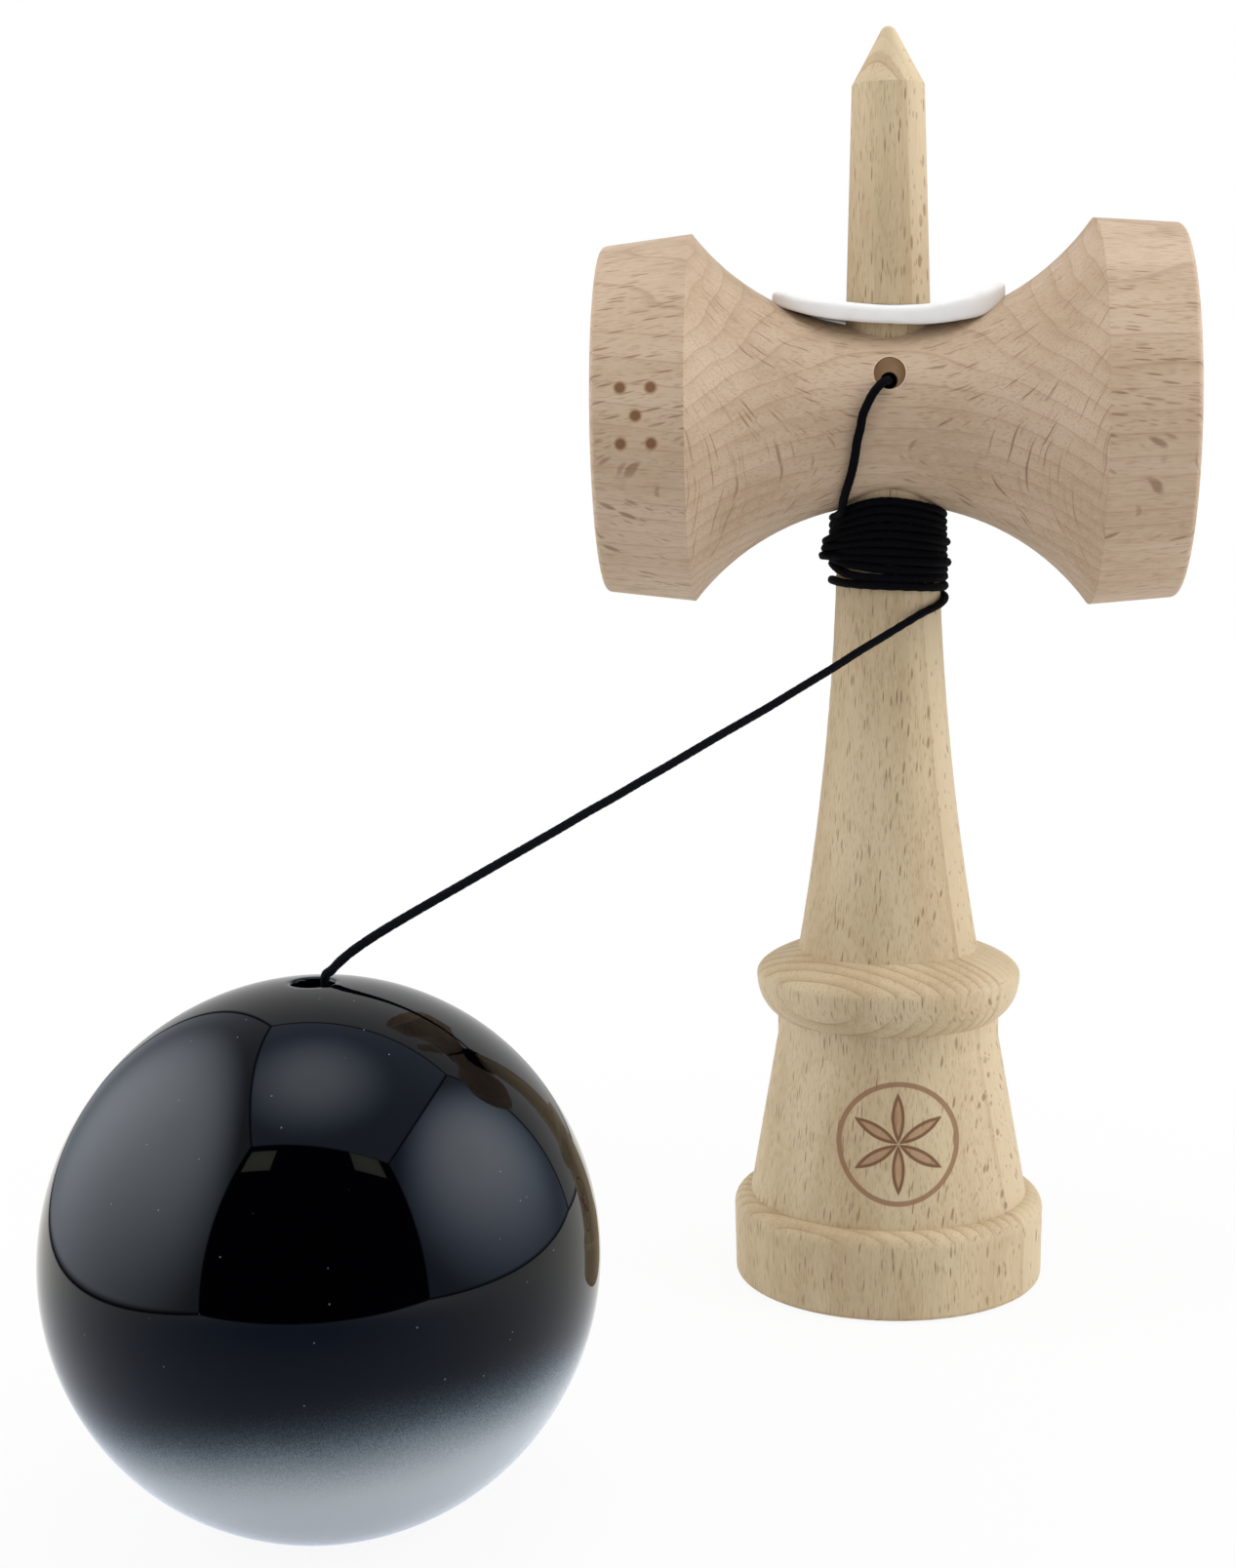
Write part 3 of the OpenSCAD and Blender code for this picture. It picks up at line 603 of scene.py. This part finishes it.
def beech(name, along, pith, tones, ring_gap, plates, shift=(0, 0, 0), rings=(3.0, 0.14, 0.5, 0.5),
          flecks=(0.5, 0.3, 0.4, 0.7), growth_line=None, painted_light_hole=None, burnt=None):
    """Beech whose grain runs along one axis.

    shift: moves the middle of the piece to the middle of its grain
    pith: the middle of its growth rings, across the grain
    ring_gap: the distance between rings
    plates: spacings of the ray plates out from the pith, around it and along the grain
    rings: their wander, how clear their late wood and their lines are, and how clear on wood cut across
    flecks: how clear the large and small ones are, the share that shows on wood cut across, and how far across
    growth_line: the place of one clear ring
    painted_light_hole: a hole's place across, height and radius, inside which the shaded wood is brightened with
    painted light
    burnt: a function that gives a mark's scorched fill and its lines
    """
    t = Tree(name)
    place = t.place()
    x, y, z = t.split(t.vector("ADD", place, shift))
    a, b, g = {"Z": (x, y, z), "X": (y, z, x)}[along]

    def stretched(across, lengthwise):
        return t.join(t.times(a, across), t.times(b, across), t.times(g, lengthwise))

    wander, late_share, line_share, end_share = rings
    large_clear, small_clear, across_share, across_at = flecks
    slow_a, slow_b, _ = t.split(t.noise(stretched(0.07, 0.012), 1.0, 2.0, output="Color"))
    from_pith_a = t.math("SUBTRACT", t.math("MULTIPLY_ADD", slow_a, wander, a), pith[0] + wander / 2)
    from_pith_b = t.math("SUBTRACT", t.math("MULTIPLY_ADD", slow_b, wander, b), pith[1] + wander / 2)
    radius = t.math("SUBTRACT", t.hypot(from_pith_a, from_pith_b), math.hypot(*pith))
    # Distance around the pith, measured from the direction of the wood
    away = [-v / math.hypot(*pith) for v in pith]
    around = t.math("SUBTRACT", t.times(from_pith_b, away[0]), t.times(from_pith_a, away[1]))
    ring = t.math("FRACT", t.math("DIVIDE", t.math("MULTIPLY_ADD", g, 0.012, radius), ring_gap))
    late = t.times(t.step(ring, 0.35, 0.95), t.step(ring, 1.0, 0.965))
    ring_line = t.times(t.step(ring, 0.86, 0.96), t.step(ring, 1.0, 0.97))

    def rays(scale, size):
        """Thin plates that lie along the grain and out from the pith."""
        cells = t.join(*(t.math("DIVIDE", v, gap * scale) for v, gap in zip((radius, around, g), plates)))
        return t.step(t.spots(cells, 1.0), size, size * 0.5)

    patchy = t.noise(stretched(0.3, 0.12), 1.0, 2.0)
    fleck = t.times(rays(1.0, 0.27), t.step(patchy, 0.28, 0.5))
    small_fleck = rays(0.55, 0.25)
    pores = t.noise(stretched(4.5, 0.4), 1.0, 3.0)
    cloud = t.noise(stretched(0.13, 0.03), 1.0, 3.0)
    mottle = t.noise(stretched(1.4, 0.6), 1.0, 3.0)

    plain, late_tone, fleck_tone, pale = (colour(*tone) for tone in tones)
    shade = t.mix(t.step(cloud, 0.32, 0.68), plain, pale)
    shade = t.mix(t.times(t.step(mottle, 0.42, 0.72), 0.4), shade, pale)
    normal = t.math("ABSOLUTE", t.split(t.add("NewGeometry", output="Normal"))["XYZ".index(along)])
    cut_across = t.step(normal, 0.15, 0.7)
    late_share = t.math("MULTIPLY_ADD", cut_across, 0.6 * (end_share - late_share), late_share)
    shade = t.mix(t.times(late, late_share), shade, late_tone)
    line_share = t.math("MULTIPLY_ADD", cut_across, end_share - line_share, line_share)
    ring_line = t.times(ring_line, t.times(t.step(patchy, 0.25, 0.55), line_share))
    shade = t.mix(ring_line, shade, late_tone)
    shade = t.mix(t.times(t.step(pores, 0.48, 0.74), 0.5), shade, late_tone)
    if growth_line is not None:
        beyond = t.math("SUBTRACT", radius, growth_line)
        line = t.times(t.step(beyond, -0.15, 0.0), t.step(beyond, 1.3, 0.0))
        hooks = t.spots(t.join(t.math("DIVIDE", beyond, 2.2), 0.5, t.math("DIVIDE", g, 5.5)), 1.0)
        near_line = t.step(t.math("ABSOLUTE", t.math("ADD", beyond, 0.7)), 0.9, 0.4)
        hooks = t.times(t.step(hooks, 0.2, 0.05), near_line)
        shade = t.mix(t.times(t.step(beyond, 0.1, -0.3), 0.6), shade, pale)
        shade = t.mix(t.times(line, 0.25), shade, late_tone)
        shade = t.mix(t.times(hooks, 0.45), shade, late_tone)
    fleck_share = t.math("MULTIPLY_ADD", t.step(normal, across_at - 0.4, across_at), across_share - 1, 1.0)
    for marks, clear in ((small_fleck, small_clear), (fleck, large_clear)):
        shade = t.mix(t.times(marks, t.times(fleck_share, clear)), shade, fleck_tone)
    relief = t.math("SUBTRACT", t.times(pores, 0.6), t.times(fleck, 0.5))
    # Painted light: inside the string's hole the shaded wood is brightened to a pale tone
    if painted_light_hole is not None:
        hole_x, hole_z, hole_r = painted_light_hole
        at_x, at_y, at_z = t.split(place)
        out = t.distance(t.join(at_x, 0.0, at_z), (hole_x, 0, hole_z))
        inside = t.times(t.step(out, hole_r + 0.08, hole_r), on_front(t, at_y, 3))
        shade = t.mix(t.times(inside, 0.85), shade, colour(*HOLE_PAINTED_LIGHT))
    if burnt is not None:
        scorch, line = burnt(t, *t.split(place))
        shade = t.mix(t.times(scorch, 0.7), shade, colour(*SCORCHED))
        shade = t.mix(t.times(line, 0.9), shade, colour(*CHARRED))
        relief = t.math("SUBTRACT", relief, t.times(line, 2.5))
    t.set(Base_Color=shade, Roughness=t.math("MULTIPLY_ADD", pores, 0.25, 0.5), Specular_IOR_Level=0.3)
    t.bump(relief, 0.05, 0.5)
    return t


def rosette(t, x, y, z):
    """A six-petalled compass rosette, burnt into the front of the base: its fill, and its lines."""
    size, middle_x, middle_z = 6.6, 1.0, 22.6
    u, v = t.math("SUBTRACT", x, middle_x), t.math("SUBTRACT", z, middle_z)
    out = t.hypot(u, v)
    sixth = t.math("MULTIPLY_ADD", t.math("ARCTAN2", u, v), 3 / math.pi, 0.5)
    angle = t.times(t.math("ABSOLUTE", t.math("SUBTRACT", t.math("FRACT", sixth), 0.5)), math.pi / 3)
    along = t.math("SUBTRACT", t.times(out, t.math("COSINE", angle)), size / 2)
    across = t.math("ADD", t.times(out, t.math("SINE", angle)), size * math.sin(math.pi / 3))
    edge = t.math("SUBTRACT", t.hypot(along, across), size)
    inside = t.times(t.step(edge, 0.0, -0.1), t.step(out, size, size - 0.1))
    outline = t.times(inside, t.step(edge, -0.55, -0.35))
    rim = t.step(t.math("ABSOLUTE", t.math("SUBTRACT", out, size + 1.0)), 0.4, 0.25)
    front = on_front(t, y, 8)
    return (t.times(t.math("MAXIMUM", inside, rim), front),
            t.times(t.math("MAXIMUM", outline, t.times(rim, 0.5)), front))


def five_dots(t, x, y, z):
    """Five burnt dots on the left cup's band: their fill, and their darker middles."""
    middle_x, middle_z, spread_x, spread_z = -31.2, CROSS_Z + 0.5, 1.9, 3.4
    u, v = t.math("SUBTRACT", x, middle_x), t.math("SUBTRACT", z, middle_z)
    off_u = t.math("SUBTRACT", t.math("ABSOLUTE", u), spread_x)
    off_v = t.math("SUBTRACT", t.math("ABSOLUTE", v), spread_z)
    near = t.math("MINIMUM", t.hypot(off_u, off_v), t.hypot(u, v))
    front = on_front(t, y, 21.5)
    return (t.times(t.step(near, 0.95, 0.75), front), t.times(t.step(near, 0.75, 0.5), front))


STRING_HOLE_Z = 121.2
FROM_BALL = (-BALL_X, -BALL_Y, 0)

ken_wood = beech("wood_ken", "Z", (43, 67), KEN_TONES, 1.7, (2.2, 0.45, 4.2), rings=(1.2, 0.04, 0.1, 0.6),
                 flecks=(0.66, 0.4, 0.25, 0.6), growth_line=2.4, painted_light_hole=(0, STRING_HOLE_Z, 2.6), burnt=rosette)
cross_wood = beech("wood_crosspiece", "X", (37, -82), CROSS_TONES, 2.1, (26, 0.42, 5.5), (0, 0, -CROSS_Z),
                   rings=(4.0, 0.1, 0.35, 0.28), flecks=(0.72, 0.45, 0.3, 1.0),
                   painted_light_hole=(0, STRING_HOLE_Z, 2.06), burnt=five_dots)
bead_wood = beech("wood_bead", "Z", (30, 40), BARE_TONES, 2.0, (4, 0.7, 3), FROM_BALL)
ball_wood = beech("wood_in_ball", "Z", (20, 60), BARE_TONES, 3.0, (8, 0.9, 6), FROM_BALL)


# ---------------------------------------------------------------- lacquer, string and washer
# Heights from the ball's middle between which the lacquer fades,
# and what each millimetre to the right adds to a height, so that the fade stands higher there
FADE_TOP, FADE_FOOT = -2.5, -20.5
FADE_TILT = -0.095
LACQUER_BLACK = (0.0002, 0.0002, 0.0007, 1)
LACQUER_GREY, LACQUER_PALE, DUST = (85, 97, 107), (185, 193, 198), (190, 192, 194)


def lacquer():
    """Gloss black that fades through fine droplets to a pale grey at the bottom."""
    t = Tree("lacquer_fade")
    place = t.place()
    x, _, z = t.split(place)
    height = t.math("MULTIPLY_ADD", t.math("ADD", x, -BALL_X), FADE_TILT, t.math("SUBTRACT", z, BALL_Z))
    drops = t.noise(place, 6.0, 1.0, 0.6)
    cloud = t.noise(place, 0.06, 2.0)
    height = t.math("MULTIPLY_ADD", t.math("SUBTRACT", drops, 0.5), 4.0, height)
    height = t.math("MULTIPLY_ADD", t.math("SUBTRACT", cloud, 0.5), 2.0, height)
    pale = t.math("POWER", t.step(height, FADE_TOP, FADE_FOOT), 1.25)
    dust = t.step(t.spots(place, 0.42), 0.05, 0.025)
    shade = t.mix(t.step(pale, 0.0, 0.45), LACQUER_BLACK, colour(*LACQUER_GREY))
    shade = t.mix(t.step(pale, 0.2, 1.0), shade, colour(*LACQUER_PALE))
    shade = t.mix(t.times(dust, 0.25), shade, colour(*DUST))
    t.set(Base_Color=shade, Roughness=t.math("MULTIPLY_ADD", dust, 0.4, 0.035), Specular_IOR_Level=0.2,
          Specular_Tint=(0.88, 0.93, 1.0, 1))
    t.bump(t.noise(place, 0.12, 1.0), 0.02, 0.25)
    return t


# Threads around the string, and along one plait
THREADS_AROUND, THREADS_ALONG = 12, 9.0
# Painted shade between the threads, the tone on them, and lighter fuzz as a painted highlight
GROOVE_SHADE_AND_THREAD_TONES = ((0.0006, 0.0006, 0.0014, 1), (0.002, 0.002, 0.0034, 1))
THREAD_FUZZ_HIGHLIGHT = (0.005, 0.005, 0.006, 1)


def braid():
    """Black braided thread: the plaits' lay is in the mesh, and the threads are in the bump."""
    t = Tree("string_braid")
    u, v, _ = t.split(t.add("UVMap", uv_map="along"))
    lean = t.times(t.times(v, THREADS_ALONG), 2 * math.pi)
    strands = [t.math("SINE", t.math("MULTIPLY_ADD", u, way * 2 * math.pi * THREADS_AROUND, lean))
               for way in (1, -1)]
    thread = t.math("MAXIMUM", *strands)
    fuzz = t.noise(t.place(), 7.0, 2.0)
    # Painted shade: the string is darker in the grooves between its threads
    shade = t.mix(t.step(thread, -0.6, 1.0), *GROOVE_SHADE_AND_THREAD_TONES)
    # Painted highlight: lighter patches where the threads' fuzz shows
    shade = t.mix(t.times(t.step(fuzz, 0.55, 0.85), 0.4), shade, THREAD_FUZZ_HIGHLIGHT)
    t.set(Base_Color=shade, Roughness=t.math("MULTIPLY_ADD", fuzz, 0.2, 0.7), Specular_IOR_Level=0.06)
    t.bump(thread, 0.03, 0.6)
    return t


WASHER_WHITE, WASHER_MARKED = (244, 244, 244), (234, 233, 231)


def soft_white():
    """White moulded washer with a fine matt skin and faint handling marks."""
    t = Tree("washer_skin")
    place = t.place()
    skin = t.noise(place, 2.4, 3.0)
    marks = t.noise(place, 0.25, 3.0)
    shade = t.mix(t.step(marks, 0.5, 0.8), colour(*WASHER_WHITE), colour(*WASHER_MARKED))
    t.set(Base_Color=shade, Roughness=t.math("MULTIPLY_ADD", skin, 0.2, 0.38), Specular_IOR_Level=0.4)
    t.bump(skin, 0.03, 0.3)
    return t


def dress(obj, *trees):
    """Give an object these materials in place of its own."""
    obj.data.materials.clear()
    for tree in trees:
        obj.data.materials.append(tree.material)


string_black = braid()
dress(nodes["ken"], ken_wood)
dress(nodes["crosspiece"], cross_wood)
dress(nodes["ball_bead"], bead_wood)
dress(ball, lacquer(), ball_wood)
dress(washer, soft_white())
for piece in [made[0] for made in string_pieces.values()] + knots:
    dress(piece, string_black)


# ---------------------------------------------------------------- stage and light
def stage_plane(name, centre, across, up, hidden=()):
    """A flat stage piece; across and up are half its sides. hidden names the rays that don't see it."""
    c, a, u = (np.array(v, float) for v in (centre, across, up))
    plane = add_object(name, [c - a - u, c + a - u, c + a + u, c - a + u], [(0, 1, 2, 3)])
    for ray in hidden:
        setattr(plane, "visible_" + ray, False)
    return plane


WHITE = (1, 1, 1, 1)
FLOOR_HALF = 6000
# Heights of the floor, and of the one that the ball mirrors
FLOOR_Z, MIRROR_FLOOR_Z = -0.2, -0.1
FLOOR_GREYS = ((222, 222, 222), (228, 228, 228))
# Middle of the toy's shadow, the distances between which it dies out, and the floor's glow within it
SHADOW_AT = (-30, -35, 0)
SHADOW_REACH = (80, 180)
SHADOW_GLOW = 0.92


def make_floor():
    """A white floor; near the toy it keeps more of its own shading, so that the shadow shows."""
    floor = stage_plane("floor", (0, 0, FLOOR_Z), (FLOOR_HALF, 0, 0), (0, FLOOR_HALF, 0))
    t = Tree("floor_white")
    place = t.place()
    grain = t.noise(place, 0.02, 2.0)
    shade = t.mix(grain, *(colour(*grey) for grey in FLOOR_GREYS))
    t.set(Base_Color=shade, Roughness=0.9, Specular_IOR_Level=0.1)
    lit = t.step(t.distance(place, SHADOW_AT), *SHADOW_REACH)
    glow_share = t.math("MULTIPLY_ADD", lit, 1 - SHADOW_GLOW, SHADOW_GLOW)
    path = t.nodes.new("ShaderNodeLightPath").outputs
    mirrored = t.math("MAXIMUM", path["Is Glossy Ray"], path["Is Transmission Ray"])
    seen = t.times(t.math("MAXIMUM", path["Is Camera Ray"], mirrored), glow_share)
    glow = t.add("Emission", {"Color": WHITE, "Strength": 1.0})
    t.surface(t.add("MixShader", {0: seen, 1: t.shader.outputs[0], 2: glow}))
    dress(floor, t)


WORLD_FILL = 0.52


def make_world():
    """A white background where it is seen or mirrored, and a weaker fill light."""
    world = bpy.data.worlds.new("studio")
    scene.world = world
    world.use_nodes = True
    tree = world.node_tree
    background = tree.nodes["Background"]
    path = tree.nodes.new("ShaderNodeLightPath")
    seen = path.outputs["Is Camera Ray"]
    for ray in ("Is Glossy Ray", "Is Transmission Ray"):
        either = tree.nodes.new("ShaderNodeMath")
        either.operation = "MAXIMUM"
        tree.links.new(seen, either.inputs[0])
        tree.links.new(path.outputs[ray], either.inputs[1])
        seen = either.outputs[0]
    strength = tree.nodes.new("ShaderNodeMapRange")
    tree.links.new(seen, strength.inputs[0])
    strength.inputs["To Min"].default_value = WORLD_FILL
    strength.inputs["To Max"].default_value = 1.0
    tree.links.new(strength.outputs[0], background.inputs["Strength"])
    background.inputs["Color"].default_value = WHITE


# The light tent's left and right, front and back, and top
TENT_X = (-240, 282)
TENT_Y = (-345, 225)
TENT_TOP = 505
# Rays that don't see a plane
MIRRORED_ONLY = ("camera", "diffuse", "shadow")
UNMIRRORED = ("camera", "glossy")
# Tints of what the ball mirrors
DEEP_BLUE, BLUE, PALE_BLUE = (0.64, 0.82, 1.2, 1), (0.72, 0.87, 1.12, 1), (0.86, 0.94, 1.06, 1)
COOL, WARM, YELLOW = (0.94, 0.98, 1.03, 1), (1.0, 0.985, 0.94, 1), (1, 1, 0.72, 1)
# Widths of the dark seams between the tent's walls, and around its floor
WALL_SEAM, FLOOR_SEAM = 9, 6
# A length beyond every wall, for the direction in which a plane has none
ENDLESS = 1e4


def glow_plane(name, centre, across, up, hot, reach, levels, hidden, tints=(WHITE, WHITE), seam=None):
    """A plane whose glow changes from its hot place to its edge.

    hot, reach: the hot place, and the distance from it at which the edge's glow is reached
    levels, tints: at the edge, and at the hot place
    seam: the width of its dark edge
    """
    plane = stage_plane(name, centre, across, up, hidden)
    t = Tree("glow_" + name)
    place = t.place()
    share = t.step(t.distance(place, hot), reach, 0.1 * reach)
    level = t.math("MULTIPLY_ADD", share, levels[1] - levels[0], levels[0])
    if seam is not None:
        half = [abs(a) + abs(u) or ENDLESS for a, u in zip(across, up)]
        inward = t.split(t.vector("SUBTRACT", half, t.vector("ABSOLUTE", t.vector("SUBTRACT", place, centre))))
        border = t.math("MINIMUM", inward[0], t.math("MINIMUM", inward[1], inward[2]))
        level = t.times(level, t.step(border, 0.0, seam))
    t.surface(t.add("Emission", {"Color": t.mix(share, *tints), "Strength": level}))
    dress(plane, t)


def make_light():
    """A light tent around the toy; the ball mirrors other planes than those that light it."""
    left, right = TENT_X
    front, back = TENT_Y
    mid_x, mid_y, mid_z = (left + right) / 2, (front + back) / 2, TENT_TOP / 2
    upright, sideways, lengthways = (0, 0, mid_z), ((right - left) / 2, 0, 0), (0, (back - front) / 2, 0)
    wall_left = ((left, mid_y, mid_z), lengthways, upright)
    wall_right = ((right, mid_y, mid_z), lengthways, upright)
    wall_back = ((mid_x, back, mid_z), sideways, upright)
    roof = ((mid_x, mid_y, TENT_TOP), sideways, lengthways)
    opening = ((mid_x, front, mid_z), sideways, upright)
    # The tent's light, which the ball doesn't mirror
    for name, plane, hot, reach, levels in (
        ("light_left", wall_left, (left, -60, 170), 270, (0.4, 2.3)),
        ("light_right", wall_right, (right, -40, 220), 330, (0.7, 3.0)),
        ("light_back", wall_back, (mid_x, back, 200), 300, (0.4, 0.6)),
        ("light_top", roof, (10, -40, TENT_TOP), 300, (0.8, 3.0)),
    ):
        glow_plane(name, *plane, hot, reach, levels, UNMIRRORED)
    # What the ball mirrors: the tent's walls with dark seams, an opening in front with two small lamps, and the floor
    for name, plane, hot, reach, levels, tints, seam in (
        ("wall_left", wall_left, (left, -115, 205), 282, (0.6, 5.1), (PALE_BLUE, COOL), WALL_SEAM),
        ("wall_right", wall_right, (right, -60, 262), 335, (0.6, 5.3), (BLUE, COOL), WALL_SEAM),
        ("wall_back", wall_back, (mid_x, back, 200), 300, (0.75, 0.85), (WHITE, WHITE), WALL_SEAM),
        ("roof", roof, (-70, -85, TENT_TOP), 250, (0.8, 3.5), (BLUE, COOL), WALL_SEAM),
        ("opening", opening, (mid_x, front, 200), 300, (0.02, 0.006), (WHITE, WHITE), None),
    ):
        glow_plane(name, *plane, hot, reach, levels, MIRRORED_ONLY, tints, seam)
    lamp_y, lamp_up, lamp_reach = front + 4, (0, 0, 55), 100
    for name, x, z, half in (("lamp_left", -178, 405, 42), ("lamp_right", 168, 446, 60)):
        place = (x, lamp_y, z)
        glow_plane(name, place, (half, 0, 0), lamp_up, place, lamp_reach, (0.9, 1.2), MIRRORED_ONLY,
                   (YELLOW, YELLOW))
    glow_plane("floor_front", (mid_x, mid_y, MIRROR_FLOOR_Z), sideways, lengthways, (-60, -270, MIRROR_FLOOR_Z), 300,
               (1.35, 0.54), MIRRORED_ONLY, (WARM, DEEP_BLUE), FLOOR_SEAM)


make_floor()
make_world()
make_light()
scene.view_settings.view_transform = "Standard"
